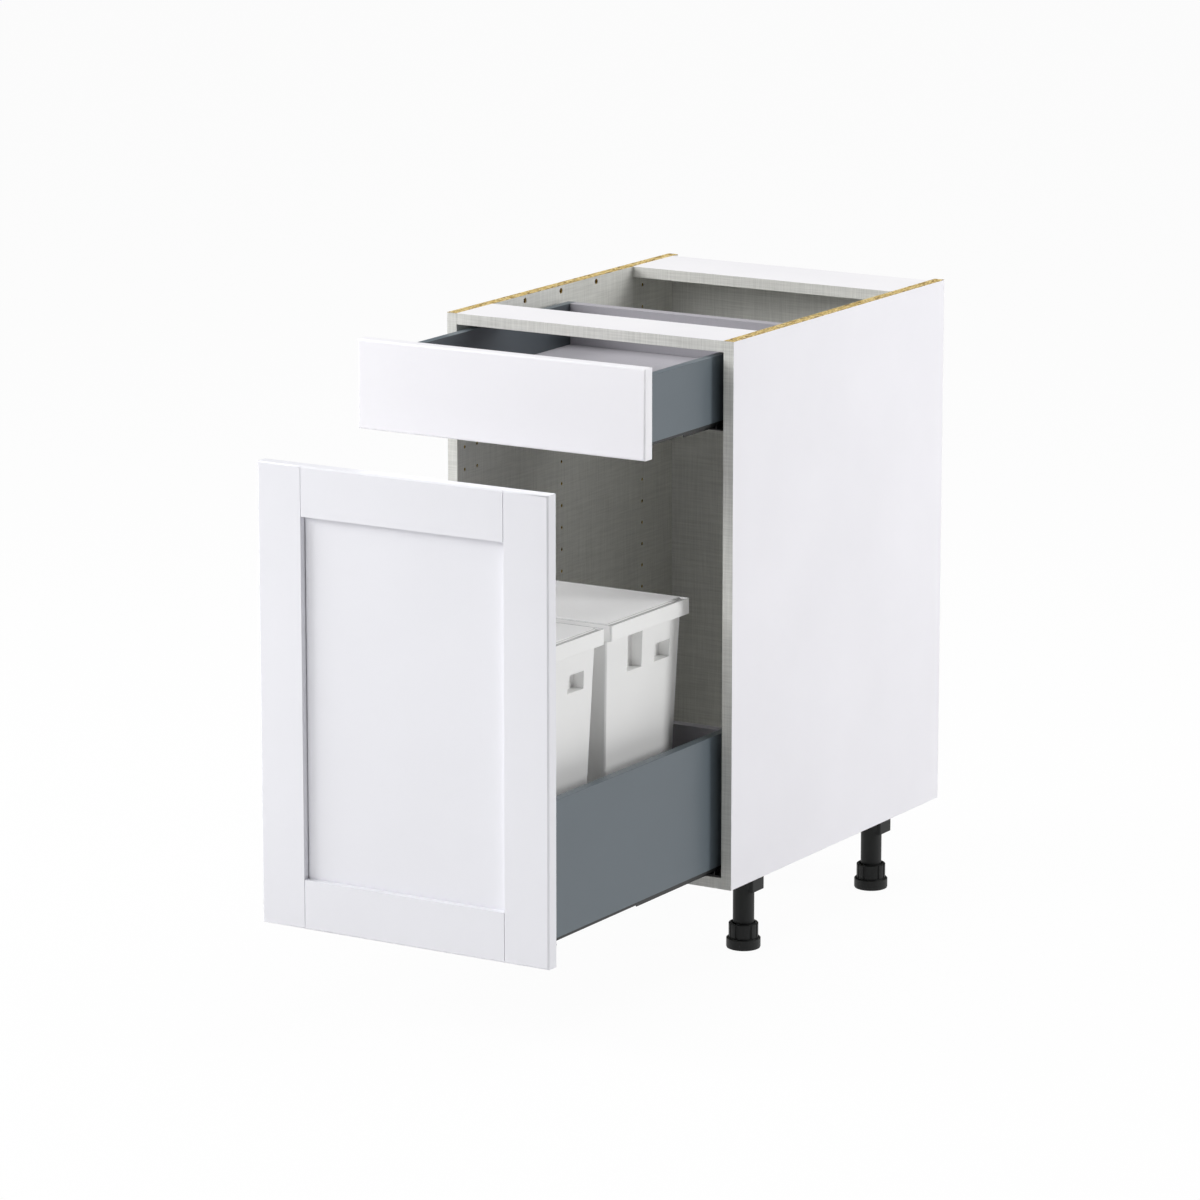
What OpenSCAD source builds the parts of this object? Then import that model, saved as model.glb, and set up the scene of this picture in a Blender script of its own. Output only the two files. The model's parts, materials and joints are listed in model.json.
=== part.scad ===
// Base cabinet with a shallow drawer above a tall pull-out that carries two lidded bins.
// Millimetres. The origin is on the floor, under the middle of the cabinet as it stands open.
// X runs across the front, Y from the fronts to the back, Z up.

/* [Carcass] */
// Width of the cabinet over its side panels
cabinet_w = 457.2; // [400:0.1:610]
// Height of the box, without its legs
box_h = 762; // [740:1:800]
// Depth of the box
box_d = 600; // [560:1:660]
// Thickness of the side panels, bottom and top rails
board_t = 16; // [15:0.5:19]
// Thickness of the back panel
back_t = 16; // [8:0.5:19]
// Depth of the front top rail
front_rail_d = 92; // [70:1:120]
// Depth of the rear top rail
rear_rail_d = 112; // [70:1:140]

/* [Fronts] */
// Thickness of the door and of the drawer front
front_t = 19; // [18:0.5:22]
// Gap between a front's side and the cabinet's outer side
side_reveal = 3.1; // [1:0.1:5]
// Gap above the drawer front
top_reveal = 3; // [1:0.5:5]
// Gap between the drawer front and the door
between_gap = 4; // [2:0.5:6]
// Gap below the door
bottom_reveal = 2; // [0:0.5:5]
// Height of the drawer front
drawer_front_h = 123; // [110:1:140]
// Gap between a closed front and the box
bumper_gap = 2; // [1:0.5:4]
// Bevel along the outer edges of the fronts
front_bevel = 2; // [1:0.5:4]
// Width of the door's stiles
stile_w = 68; // [50:1:90]
// Width of the door's rails
rail_w = 68; // [50:1:90]
// Width of the open joints between the door's stiles and rails
joint_gap = 0.8; // [0.3:0.1:1.5]
// Width of the shadow line round the door's panel
shadow_gap = 1.2; // [0.5:0.1:3]
// Depth of the recess in front of the door's panel
recess_d = 10; // [7:0.5:11]
// Thickness of the door's panel
panel_t = 6; // [4:0.5:6]
// How far the panel and the rails' tongues reach into their grooves
tongue_len = 8; // [5:0.5:12]

/* [Drawer] */
// How far the drawer stands open
drawer_open = 206; // [0:1:486]
// Inner length of the drawer, from its front to its back
drawer_len = 467; // [440:1:485]
// Height of the drawer's walls over their outer sheets
drawer_wall_h = 90.5; // [76:0.5:91]
// Gap between the drawer's walls and the top rail
drawer_top_gap = 6; // [4:0.5:20]

/* [Pull-out] */
// How far the pull-out stands open
pullout_open = 447; // [0:1:486]
// Inner length of the pull-out, from its front to its back
pullout_len = 481; // [460:1:500]
// Height of the pull-out's walls over their outer sheets
pullout_wall_h = 186.5; // [130:0.5:220]

/* [Walls and boards] */
// Gap between a metal wall and the side panel
wall_gap = 11; // [9:0.5:14]
// Thickness of a metal double wall
wall_t = 13; // [13:0.5:16]
// Thickness of the wall's sheet
skin_t = 1; // [0.8:0.1:1]
// How far a wall's outer sheet hangs down beside its runner
cover_drop = 15; // [6:0.5:18]
// Width of the ledge under the bottom board
ledge_w = 18; // [10:1:25]
// Thickness of the bottom boards and back boards
tray_t = 16; // [12:0.5:16]

/* [Runners] */
// Length of the fixed member and of the drawer member
runner_len = 480; // [460:1:500]
// Length of the middle member
middle_len = 430; // [400:1:450]
// Full travel of a runner
runner_travel = 486; // [480:1:500]
// Distance from the box's front edge to the runner
runner_setback = 3; // [1:0.5:6]
// Width of the runner's channels
runner_w = 24; // [22:0.5:24]
// Height of the runner
runner_h = 26.5; // [24:0.5:30]
// Thickness of the runner's sheet
rail_t = 1.2; // [1:0.1:1.5]
// Width of the middle member
middle_w = 13; // [11:0.5:14]
// Height of the flange that is screwed to the side panel
flange_h = 20; // [18:0.5:24]
// Gap between the bottom panel and the lower runners
floor_gap = 0.7; // [0.5:0.1:3]
// Length of a ball cage
cage_len = 200; // [120:1:200]
// Number of balls on each side of a cage
ball_count = 6; // [3:1:10]
// Thickness of a ball cage
cage_t = 0.8; // [0.6:0.1:0.9]

/* [Bins] */
// Width of a bin over its rim
bin_w = 330; // [280:1:350]
// Depth of a bin over its rim, front to back
bin_d = 205; // [180:1:210]
// Height of a bin
bin_h = 344.5; // [290:0.5:390]
// Thickness of the bin's wall
bin_wall = 1.5; // [1.2:0.1:2.5]
// Slope of the bin's sides in degrees
bin_taper = 2.2; // [1:0.1:3]
// Width of the bevel on the body's upright corners
bin_corner = 2; // [1:0.5:6]
// How far the rim stands out from the body at its front and back
rim_w = 5; // [4:0.5:12]
// How far the rim stands out from the body at its sides
rim_side_w = 10.5; // [6:0.5:14]
// Height of the rim's skirt
rim_h = 21.5; // [12:0.5:26]
// Radius of the rim's corners
rim_corner = 3; // [2.5:0.5:12]
// Thickness of the lid
lid_t = 3; // [2.5:0.1:5]
// Depth of the grip pockets in the bin's sides
pocket_d = 19; // [8:1:22]
// Gap between the door and the front bin
bin_front_gap = 15.5; // [10:0.5:18]
// Gap between the bins
bin_gap = 17.5; // [4:0.5:22]

/* [Legs] */
// Height of the legs
leg_h = 114.3; // [100:0.1:150]
// Distance from the cabinet's side to the middle of a leg
leg_side = 45.6; // [42:0.1:70]
// Distance from the box's front edge to the front legs
leg_front = 114; // [80:1:140]
// Distance from the box's back to the rear legs
leg_rear = 117; // [60:1:150]
// Diameter of the leg tube
leg_tube_d = 30; // [24:1:32]
// Wall of the leg tube
leg_tube_wall = 3; // [2:0.5:4]
// Diameter of the foot
foot_d = 48; // [46:1:60]
// Height of the foot's base
foot_base_h = 16; // [10:0.5:20]
// Diameter of the foot's grip ring
foot_ring_d = 41.5; // [38:0.5:44]
// Height of the foot's grip ring
foot_ring_h = 21; // [16:0.5:26]
// Number of wide grips round the grip ring
grip_count = 4; // [3:1:6]
// Height of the leg socket
socket_h = 32; // [26:0.5:40]

/* [Holes and fasteners] */
// Diameter of the shelf holes
shelf_hole_d = 5; // [3:0.5:6]
// Depth of the shelf holes
shelf_hole_depth = 12; // [8:0.5:13]
// Pitch of the hole system
hole_pitch = 32; // [32:1:32]
// Distance from the front edge to the first column of holes
first_column = 19; // [16:0.5:22]
// Distance from the top of the box to the highest shelf hole
top_hole_drop = 31; // [30:1:60]
// Number of holes in a column
hole_rows = 19; // [2:1:19]
// Diameter of the dowels and of their open holes at the top
dowel_d = 8; // [6:0.5:8]
// Length of a dowel
dowel_len = 30; // [24:1:34]
// Diameter of the runner screws
runner_screw_d = 6; // [4:0.5:6]
// Diameter of the small screws
small_screw_d = 3.5; // [2.5:0.5:4]

/* [Fits] */
// Radial clearance round a screw or a dowel
screw_fit = 0.1; // [0.05:0.05:0.2]
// Clearance between pieces that slide, roll or lift
slide_fit = 0.3; // [0.2:0.05:0.5]
// Clearance of a board between its walls
board_fit = 0.3; // [0.1:0.05:0.5]
// Clearance of a tongue in its groove, on each face
groove_fit = 0.1; // [0.05:0.05:0.25]
// Radial clearance between a leg tube and its socket
socket_fit = 0.2; // [0.1:0.05:0.4]

/* [Hidden] */

$fn = 48;
// Overshoot of a cut past the face that it opens
cut = 1;

// Colours
linen = [0.83, 0.84, 0.82];
white_board = [0.9, 0.9, 0.93];
white_front = [0.95, 0.95, 0.97];
beech = [0.8, 0.65, 0.42];
steel_grey = [0.43, 0.47, 0.5];
dark_steel = [0.2, 0.21, 0.2];
bright_steel = [0.65, 0.66, 0.67];
tray_grey = [0.63, 0.62, 0.66];
bin_grey = [0.88, 0.88, 0.87];
black_plastic = [0.15, 0.16, 0.16];
clear_plastic = [0.85, 0.87, 0.88];

// Box: half of the inner width, and the faces of the metal walls
half_in = cabinet_w/2 - board_t;
wall_out = half_in - wall_gap;
wall_in = wall_out - wall_t;
back_y = box_d - back_t;
// The open cabinet's middle, front to back, which stands over the origin
mid_y = (box_d - bumper_gap - front_t - max(pullout_open, drawer_open))/2;

// Fronts: the closed fronts' rear face, sizes, heights above the box's underside, and where
// the door's front face, its panel and its rails lie
front_y = -bumper_gap;
front_w = cabinet_w - 2*side_reveal;
drawer_front_z = box_h - top_reveal - drawer_front_h;
door_h = drawer_front_z - between_gap - bottom_reveal;
stile_edge = front_w/2 - stile_w;
door_y = front_y - front_t - pullout_open;
panel_y = door_y + recess_d;
rail_low = bottom_reveal + rail_w;
rail_high = bottom_reveal + door_h - rail_w;
joint_depth = 1.6;
bumper_d = 8;
bumper_t = bumper_gap - slide_fit;
drawer_bumper_edge = 20;
door_bumper_edge = 30;

// Trays: the undersides of their bottoms, above the box's underside, and their heights
drawer_z = box_h - board_t - drawer_top_gap - drawer_wall_h + cover_drop;
pullout_z = board_t + floor_gap + runner_h;
drawer_h = drawer_wall_h - cover_drop;
pullout_h = pullout_wall_h - cover_drop;

// Runner section, measured from the tray's underside at the middle of the channels
runner_x = wall_in;
gauge_half = runner_w/2;
flange_x = half_in - runner_x;
cage_drop = rail_t + slide_fit;
middle_drop = cage_drop + cage_t + slide_fit;
fixed_leg_h = 6.5;
leg_gap = 1;
leg_drop = runner_h - fixed_leg_h - leg_gap;
ball_gap = gauge_half - rail_t - middle_w/2;
ball_r = ball_gap/2 - slide_fit;
ball_x = middle_w/2 + ball_gap/2;
ball_drop = 4.2;
middle_y = runner_setback + (runner_len - middle_len)/2;
cage_margin = 3.5;
lower_cage_y = runner_setback + runner_travel/4 + cage_margin;
upper_cage_y = middle_y + runner_travel/4 + cage_margin;

// Runner screws: three on each side, along the flange
runner_screw_first = runner_setback + 34;
runner_screw_step = 208;
runner_screw_count = 3;
runner_screw_depth = 11;
runner_screw_rise = 11;
runner_screw_z = runner_screw_rise - runner_h;
runner_head_r = 4.2;
runner_head_t = 2;

// Dowels in the carcass: a part in the side panel and the rest in the board's end
dowel_in_side = 11;
dowel_end_gap = 1;
bottom_dowel_y = [60, box_d/2, box_d - 60];
front_rail_dowel_y = [front_rail_d*0.25, front_rail_d*0.75];
rear_rail_y = back_y - rear_rail_d;
rear_rail_dowel_y = [rear_rail_y + rear_rail_d*0.25, rear_rail_y + rear_rail_d*0.75];
back_dowel_z = [100, (box_h - board_t)/2, box_h - board_t - 90];
top_hole_y = 178;
top_hole_step = 3*hole_pitch;
hole_columns = [0, 1, 8, 15];

// Brackets that join a metal wall to its front and to its back board
bracket_t = 2;
bracket_edge = 12;
tongue_reach = 50;
back_bracket_t = 1.5;
back_bracket_reach = 38;
back_tongue_reach = 30;
bracket_screw_edge = 10;
small_head_r = 3;
small_head_t = 1.6;
small_head_gap = 0.5;
small_screw_depth = 12;

// Bins
bin_z = pullout_z + skin_t + tray_t;
bin_half_w = bin_w/2 - rim_side_w;
bin_half_d = bin_d/2 - rim_w;
bin_foot_in = bin_h*tan(bin_taper);
rim_wall = 2;
lid_ledge_w = 3;
lid_seat = 2;
lid_fit = 0.4;
front_bin_y = front_y + bin_front_gap + bin_d/2;
rear_bin_y = front_bin_y + bin_d + bin_gap;
// Radius of the lid's corners, which clears the bevels of the body
lid_corner = 1.75*bin_corner;
tall_pocket = [38.5, 55];
tall_pocket_y = -22;
small_pocket = [40, 24.5];
small_pocket_y = 50;
small_pocket_drop = tall_pocket[1] - small_pocket[1];

// Legs
leg_x = cabinet_w/2 - leg_side;
leg_ys = [leg_front, box_d - leg_rear];
socket_plate = [60, 76, 4];
socket_plate_r = 6;
socket_wall = 2.2;
socket_collar_h = 27;
socket_block = [leg_tube_d + 8, 34];
socket_block_y = 8;
socket_block_r = 3;
socket_top = 6;
socket_screw = [22, 30];
foot_bore_floor = 8;
foot_play = 6;
foot_round = 2.5;
// The foot's lower edge is rounded in two steps, of which the lower one is this part
foot_round_low = 0.3;
foot_shoulder = 1.5;
foot_chamfer = 1.2;
foot_mouth = [1.2, 2];
// Two grooves stand on either side of each narrow grip, which lies between the wide ones
narrow_grip = 32;
first_narrow_grip = -15;
grip_groove_r = 1.5;
// The grooves end a little above the foot's base
grip_groove_lift = 1;
leg_screw_depth = 12;

// Shapes that repeat

// Puts the box's frame on its legs, with the open cabinet's middle over the origin
module on_floor() {
    translate([0, -mid_y, leg_h]) children();
}

module left_side() {
    mirror([1, 0, 0]) children();
}

module both_sides() {
    children();
    left_side() children();
}

// Draws a section in X and Z along Y
module along_y(y0, len) {
    translate([0, y0 + len, 0]) rotate([90, 0, 0]) linear_extrude(len) children();
}

// Draws a section in Y and Z along X, centred on X = 0
module along_x(len) {
    translate([-len/2, 0, 0]) rotate([90, 0, 90]) linear_extrude(len) children();
}

module rod_x(x0, x1, d) {
    translate([x0, 0, 0]) rotate([0, 90, 0]) cylinder(h = x1 - x0, d = d);
}

module rod_y(y0, y1, d) {
    translate([0, y0, 0]) rotate([-90, 0, 0]) cylinder(h = y1 - y0, d = d);
}

// Rectangle with round corners, centred
module round_rect(w, d, r) {
    square([w - 2*r, d], center = true);
    square([w, d - 2*r], center = true);
    for (x = [-1, 1], y = [-1, 1]) translate([x*(w/2 - r), y*(d/2 - r)]) circle(r = r);
}

// Flat front with bevelled outer edges: its front face is at y, its lower edge at z = 0
module front_slab(w, h, y) {
    b = front_bevel;
    translate([0, y, 0]) intersection() {
        linear_extrude(h) polygon([[-w/2, front_t], [w/2, front_t], [w/2, b], [w/2 - b, 0],
                                   [b - w/2, 0], [-w/2, b]]);
        along_x(w) polygon([[front_t, 0], [front_t, h], [b, h], [0, h - b], [0, b], [b, 0]]);
    }
}

// Carcass

// Places of the runner screws, on the side panel's inner face
module at_runner_screws() {
    for (wall_z = [drawer_z, pullout_z], i = [0 : runner_screw_count - 1])
        translate([half_in, runner_screw_first + i*runner_screw_step, wall_z + runner_screw_z])
            children();
}

// Places of the dowels, on the side panel's inner face
module at_dowels() {
    for (y = bottom_dowel_y) translate([half_in, y, board_t/2]) children();
    for (y = front_rail_dowel_y) translate([half_in, y, box_h - board_t/2]) children();
    for (y = rear_rail_dowel_y) translate([half_in, y, box_h - board_t/2]) children();
    for (z = back_dowel_z) translate([half_in, back_y + back_t/2, z]) children();
}

module dowel_bores() {
    both_sides() at_dowels()
        rod_x(dowel_in_side - dowel_len - dowel_end_gap, dowel_in_side + dowel_end_gap,
              dowel_d + 2*screw_fit);
}

module side_panel() {
    color(white_board) on_floor() difference() {
        translate([half_in, 0, 0]) cube([board_t, box_d, box_h]);
        // Columns of shelf holes
        for (column = hole_columns, row = [0 : hole_rows - 1])
            translate([half_in, first_column + column*hole_pitch,
                       box_h - top_hole_drop - row*hole_pitch])
                rod_x(-cut, shelf_hole_depth, shelf_hole_d);
        // Open dowel holes under the top edge
        for (i = [0 : 2])
            translate([half_in, top_hole_y + i*top_hole_step, box_h - board_t/2])
                rod_x(-cut, dowel_in_side + dowel_end_gap, dowel_d);
        dowel_bores();
        at_runner_screws() rod_x(-cut, runner_screw_depth + dowel_end_gap,
                                 runner_screw_d + 2*screw_fit);
    }
}

module side_panel_right() side_panel();
module side_panel_left() left_side() side_panel();

module bottom_panel() {
    color(linen) on_floor() difference() {
        translate([-half_in, 0, 0]) cube([2*half_in, box_d, board_t]);
        dowel_bores();
        at_leg_screws() translate([0, 0, -cut])
            cylinder(h = leg_screw_depth + cut + dowel_end_gap, d = small_screw_d + 2*screw_fit);
    }
}

module back_panel() {
    color(linen) on_floor() difference() {
        translate([-half_in, back_y, board_t]) cube([2*half_in, back_t, box_h - 2*board_t]);
        dowel_bores();
    }
}

module front_top_rail() {
    color(linen) on_floor() difference() {
        translate([-half_in, 0, box_h - board_t]) cube([2*half_in, front_rail_d, board_t]);
        dowel_bores();
    }
}

module rear_top_rail() {
    color(linen) on_floor() difference() {
        translate([-half_in, rear_rail_y, box_h - board_t])
            cube([2*half_in, rear_rail_d, board_t]);
        dowel_bores();
    }
}

module carcass_dowels() {
    color(beech) on_floor() both_sides() at_dowels()
        rod_x(dowel_in_side - dowel_len, dowel_in_side, dowel_d);
}

// Legs

module at_legs() {
    for (x = [-leg_x, leg_x], y = leg_ys) translate([x, y, 0]) children();
}

module at_leg_screws() {
    at_legs() for (x = [-1, 1], y = [-1, 1])
        translate([x*socket_screw[0], y*socket_screw[1], 0]) children();
}

// Plate under the bottom panel, with the collar round the tube and the block behind it
module leg_sockets() {
    color(black_plastic) on_floor() difference() {
        at_legs() {
            translate([0, 0, -socket_plate[2]]) linear_extrude(socket_plate[2])
                round_rect(socket_plate[0], socket_plate[1], socket_plate_r);
            translate([0, 0, -socket_collar_h])
                cylinder(h = socket_collar_h, d = leg_tube_d + 2*socket_fit + 2*socket_wall);
            translate([0, socket_block_y, -socket_h]) linear_extrude(socket_h)
                round_rect(socket_block[0], socket_block[1], socket_block_r);
        }
        at_legs() translate([0, 0, -socket_h - cut])
            cylinder(h = socket_h - socket_top + cut, d = leg_tube_d + 2*socket_fit);
        at_leg_screws() translate([0, 0, -socket_plate[2] - cut])
            cylinder(h = socket_plate[2] + 2*cut, d = small_screw_d + 2*screw_fit);
    }
}

// Tubes: their lower ends stand in the feet, above the floor of the feet's bores
module leg_tubes() {
    bottom = foot_bore_floor + foot_play - leg_h;
    color(black_plastic) on_floor() at_legs() difference() {
        translate([0, 0, bottom]) cylinder(h = -socket_top - bottom, d = leg_tube_d);
        translate([0, 0, bottom - cut])
            cylinder(h = -socket_top - bottom - leg_tube_wall + cut,
                     d = leg_tube_d - 2*leg_tube_wall);
    }
}

module leg_screws() {
    color(bright_steel) on_floor() at_leg_screws() {
        translate([0, 0, -socket_plate[2]])
            cylinder(h = socket_plate[2] + leg_screw_depth, d = small_screw_d);
        translate([0, 0, -socket_plate[2] - small_head_t])
            cylinder(h = small_head_t, r = small_head_r);
    }
}

// Foot that screws along the tube: a round base with a grooved grip ring on it
module foot() {
    r = foot_d/2;
    ring_r = foot_ring_d/2;
    neck_r = leg_tube_d/2 + slide_fit;
    top = foot_base_h + foot_ring_h;
    mouth_r = neck_r + foot_mouth[0];
    color(black_plastic) difference() {
        rotate_extrude() polygon([
            [0, 0], [r - foot_round, 0], [r - foot_round*foot_round_low, foot_round*foot_round_low],
            [r, foot_round], [r, foot_base_h - foot_shoulder], [r - foot_shoulder, foot_base_h],
            [ring_r, foot_base_h], [ring_r, top - foot_chamfer], [ring_r - foot_chamfer, top],
            [mouth_r, top], [mouth_r, top - foot_mouth[1]], [neck_r, top - foot_mouth[1]],
            [neck_r, foot_bore_floor], [0, foot_bore_floor]]);
        for (i = [0 : grip_count - 1], side = [-1, 1])
            rotate([0, 0, first_narrow_grip + i*360/grip_count + side*narrow_grip/2])
                translate([ring_r, 0, foot_base_h + grip_groove_lift])
                    cylinder(h = foot_ring_h, r = grip_groove_r, $fn = 24);
    }
}

module foot_at(side, i) translate([side*leg_x, leg_ys[i] - mid_y, 0]) foot();
module foot_front_left() foot_at(-1, 0);
module foot_front_right() foot_at(1, 0);
module foot_rear_left() foot_at(-1, 1);
module foot_rear_right() foot_at(1, 1);

// Runners. Each section is drawn from the tray's underside, at the middle of its channels.

// Fixed member: a channel open upwards, an arm and the flange on the side panel
module fixed_member(wall_z) {
    color(dark_steel) on_floor() difference() {
        translate([runner_x, 0, wall_z]) along_y(runner_setback, runner_len) {
            translate([-gauge_half, -runner_h]) square([gauge_half + flange_x, rail_t]);
            for (x = [-gauge_half, gauge_half - rail_t])
                translate([x, -runner_h]) square([rail_t, fixed_leg_h]);
            translate([flange_x - rail_t, -runner_h]) square([rail_t, flange_h]);
        }
        at_runner_screws() rod_x(-rail_t - cut, cut, runner_screw_d + 2*screw_fit);
    }
}

module drawer_runner_right() fixed_member(drawer_z);
module drawer_runner_left() left_side() fixed_member(drawer_z);
module pullout_runner_right() fixed_member(pullout_z);
module pullout_runner_left() left_side() fixed_member(pullout_z);

module runner_screws() {
    color(bright_steel) on_floor() both_sides() at_runner_screws() {
        rod_x(-rail_t, runner_screw_depth, runner_screw_d);
        rod_x(-rail_t - runner_head_t, -rail_t, 2*runner_head_r);
    }
}

// Middle member: two tracks joined by a web, halfway along the opening
module middle_member(wall_z, open) {
    h = runner_h - 2*middle_drop;
    color(dark_steel) on_floor()
        translate([runner_x, 0, wall_z]) along_y(middle_y - open/2, middle_len) {
            for (x = [-middle_w/2, middle_w/2 - rail_t])
                translate([x, middle_drop - runner_h]) square([rail_t, h]);
            translate([-middle_w/2, -runner_h/2 - rail_t/2]) square([middle_w, rail_t]);
        }
}

module drawer_middle_rail_right() middle_member(drawer_z, drawer_open);
module drawer_middle_rail_left() left_side() middle_member(drawer_z, drawer_open);
module pullout_middle_rail_right() middle_member(pullout_z, pullout_open);
module pullout_middle_rail_left() left_side() middle_member(pullout_z, pullout_open);

// Ball cage: a thin channel with the balls in its legs. It is drawn for the upper
// track, from the tray's underside, and turned over for the lower one.
module ball_cage(y0) {
    ball_step = cage_len/ball_count;
    along_y(y0, cage_len) {
        translate([-ball_x - cage_t/2, -cage_drop - cage_t]) square([2*ball_x + cage_t, cage_t]);
        for (x = [-ball_x, ball_x])
            translate([x - cage_t/2, -ball_drop - ball_r])
                square([cage_t, ball_drop + ball_r - cage_drop]);
    }
    for (x = [-ball_x, ball_x], i = [0 : ball_count - 1])
        translate([x, y0 + (i + 0.5)*ball_step, -ball_drop]) sphere(r = ball_r, $fn = 24);
}

module upper_cages(wall_z, open) {
    color(bright_steel) on_floor() both_sides()
        translate([runner_x, 0, wall_z]) ball_cage(upper_cage_y - open*0.75);
}

module lower_cages(wall_z, open) {
    color(bright_steel) on_floor() both_sides()
        translate([runner_x, 0, wall_z - runner_h]) mirror([0, 0, 1])
            ball_cage(lower_cage_y - open*0.25);
}

module drawer_upper_cages() upper_cages(drawer_z, drawer_open);
module drawer_lower_cages() lower_cages(drawer_z, drawer_open);
module pullout_upper_cages() upper_cages(pullout_z, pullout_open);
module pullout_lower_cages() lower_cages(pullout_z, pullout_open);

// Drawer member: a channel open downwards, beside the wall's outer sheet
module drawer_member(wall_z, open) {
    color(dark_steel) on_floor()
        translate([runner_x, 0, wall_z]) along_y(runner_setback - open, runner_len) {
            translate([-gauge_half, -rail_t]) square([runner_w, rail_t]);
            for (x = [-gauge_half, gauge_half - rail_t])
                translate([x, -leg_drop]) square([rail_t, leg_drop]);
        }
}

module drawer_rail_right() drawer_member(drawer_z, drawer_open);
module drawer_rail_left() left_side() drawer_member(drawer_z, drawer_open);
module pullout_rail_right() drawer_member(pullout_z, pullout_open);
module pullout_rail_left() left_side() drawer_member(pullout_z, pullout_open);

// Trays: metal double walls, a bottom board and a back board. The tray's own
// length runs from its front's rear face to its back board's inner face.

// Double wall of folded sheet, with the ledge that carries the bottom board and the outer
// sheet that hangs down beside the runner
module metal_wall(wall_z, h, len, open) {
    color(steel_grey) on_floor() translate([0, 0, wall_z])
        along_y(front_y - open, len + tray_t) {
            difference() {
                translate([wall_in, 0]) square([wall_t, h]);
                translate([wall_in + skin_t, skin_t]) square([wall_t - 2*skin_t, h - 2*skin_t]);
            }
            translate([wall_in - ledge_w, 0]) square([ledge_w + skin_t, skin_t]);
            translate([wall_out - skin_t, -cover_drop]) square([skin_t, cover_drop + skin_t]);
        }
}

module bottom_board(wall_z, len, open) {
    half = wall_in - board_fit;
    color(tray_grey) on_floor() translate([-half, front_y - open, wall_z + skin_t])
        cube([2*half, len + tray_t, tray_t]);
}

module back_board(wall_z, h, len, open) {
    half = wall_in - board_fit;
    foot = skin_t + tray_t;
    color(tray_grey) on_floor() difference() {
        translate([-half, front_y + len - open, wall_z + foot]) cube([2*half, tray_t, h - foot]);
        both_sides() at_back_screws(wall_z, h, len, open)
            rod_y(-small_screw_depth - dowel_end_gap, cut, small_screw_d + 2*screw_fit);
    }
}

// Places of the screws that hold a front bracket, on the front's rear face
module at_front_screws(wall_z, h, open) {
    x = wall_in + skin_t + slide_fit + small_head_r + small_head_gap;
    for (z = [bracket_edge + bracket_screw_edge, h - bracket_edge - bracket_screw_edge])
        translate([x, front_y - open, wall_z + z]) children();
}

// Places of the screws that hold a back bracket, on the back board's rear face
module at_back_screws(wall_z, h, len, open) {
    foot = skin_t + tray_t;
    for (z = [foot + bracket_screw_edge, h - 2*bracket_screw_edge])
        translate([wall_in - back_bracket_reach + bracket_screw_edge,
                   front_y + len + tray_t - open, wall_z + z]) children();
}

// Angle inside the double wall's front end: a plate on the front and a tongue in the wall
module front_bracket(wall_z, h, open) {
    w = wall_t - 2*skin_t - 2*slide_fit;
    x = wall_in + skin_t + slide_fit;
    difference() {
        translate([x, front_y - open, wall_z + bracket_edge]) {
            cube([w, bracket_t, h - 2*bracket_edge]);
            translate([w - bracket_t, 0, 0]) cube([bracket_t, tongue_reach, h - 2*bracket_edge]);
        }
        at_front_screws(wall_z, h, open) rod_y(-cut, bracket_t + cut, small_screw_d + 2*screw_fit);
    }
}

// Plate behind the back board, with a tongue in the double wall's rear end
module back_bracket(wall_z, h, len, open) {
    foot = skin_t + tray_t;
    y = front_y + len + tray_t - open;
    tongue_x = wall_in + skin_t + slide_fit;
    difference() {
        union() {
            translate([wall_in - back_bracket_reach, y, wall_z + foot])
                cube([back_bracket_reach + wall_t - skin_t - slide_fit, back_bracket_t,
                      h - foot - bracket_edge/2]);
            translate([tongue_x, y - back_tongue_reach, wall_z + foot])
                cube([back_bracket_t, back_tongue_reach + back_bracket_t,
                      h - foot - bracket_edge/2]);
        }
        at_back_screws(wall_z, h, len, open)
            rod_y(-cut, back_bracket_t + cut, small_screw_d + 2*screw_fit);
    }
}

// Screws of one tray: through the front brackets and through the back brackets
module tray_screws(wall_z, h, len, open) {
    color(bright_steel) on_floor() both_sides() {
        at_front_screws(wall_z, h, open) {
            rod_y(-small_screw_depth, bracket_t, small_screw_d);
            rod_y(bracket_t, bracket_t + small_head_t, 2*small_head_r);
        }
        at_back_screws(wall_z, h, len, open) {
            rod_y(-small_screw_depth, back_bracket_t, small_screw_d);
            rod_y(back_bracket_t, back_bracket_t + small_head_t, 2*small_head_r);
        }
    }
}

module front_screw_bores(wall_z, h, open) {
    both_sides() at_front_screws(wall_z, h, open)
        rod_y(-small_screw_depth - dowel_end_gap, cut, small_screw_d + 2*screw_fit);
}

// Round bumpers on a front's rear face, over the side panels' edges
module bumpers(open, heights) {
    color(clear_plastic) on_floor() both_sides() for (z = heights)
        translate([half_in + board_t/2, front_y - open, z]) rod_y(0, bumper_t, bumper_d);
}

// Drawer

module drawer_front() {
    color(white_front) on_floor() difference() {
        translate([0, 0, drawer_front_z])
            front_slab(front_w, drawer_front_h, front_y - front_t - drawer_open);
        front_screw_bores(drawer_z, drawer_h, drawer_open);
    }
}

module drawer_wall_right() metal_wall(drawer_z, drawer_h, drawer_len, drawer_open);
module drawer_wall_left() left_side() drawer_wall_right();
module drawer_bottom() bottom_board(drawer_z, drawer_len, drawer_open);
module drawer_back() back_board(drawer_z, drawer_h, drawer_len, drawer_open);
module drawer_screws() tray_screws(drawer_z, drawer_h, drawer_len, drawer_open);

module drawer_front_brackets() {
    color(bright_steel) on_floor() both_sides()
        front_bracket(drawer_z, drawer_h, drawer_open);
}

module drawer_back_brackets() {
    color(steel_grey) on_floor() both_sides()
        back_bracket(drawer_z, drawer_h, drawer_len, drawer_open);
}

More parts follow.
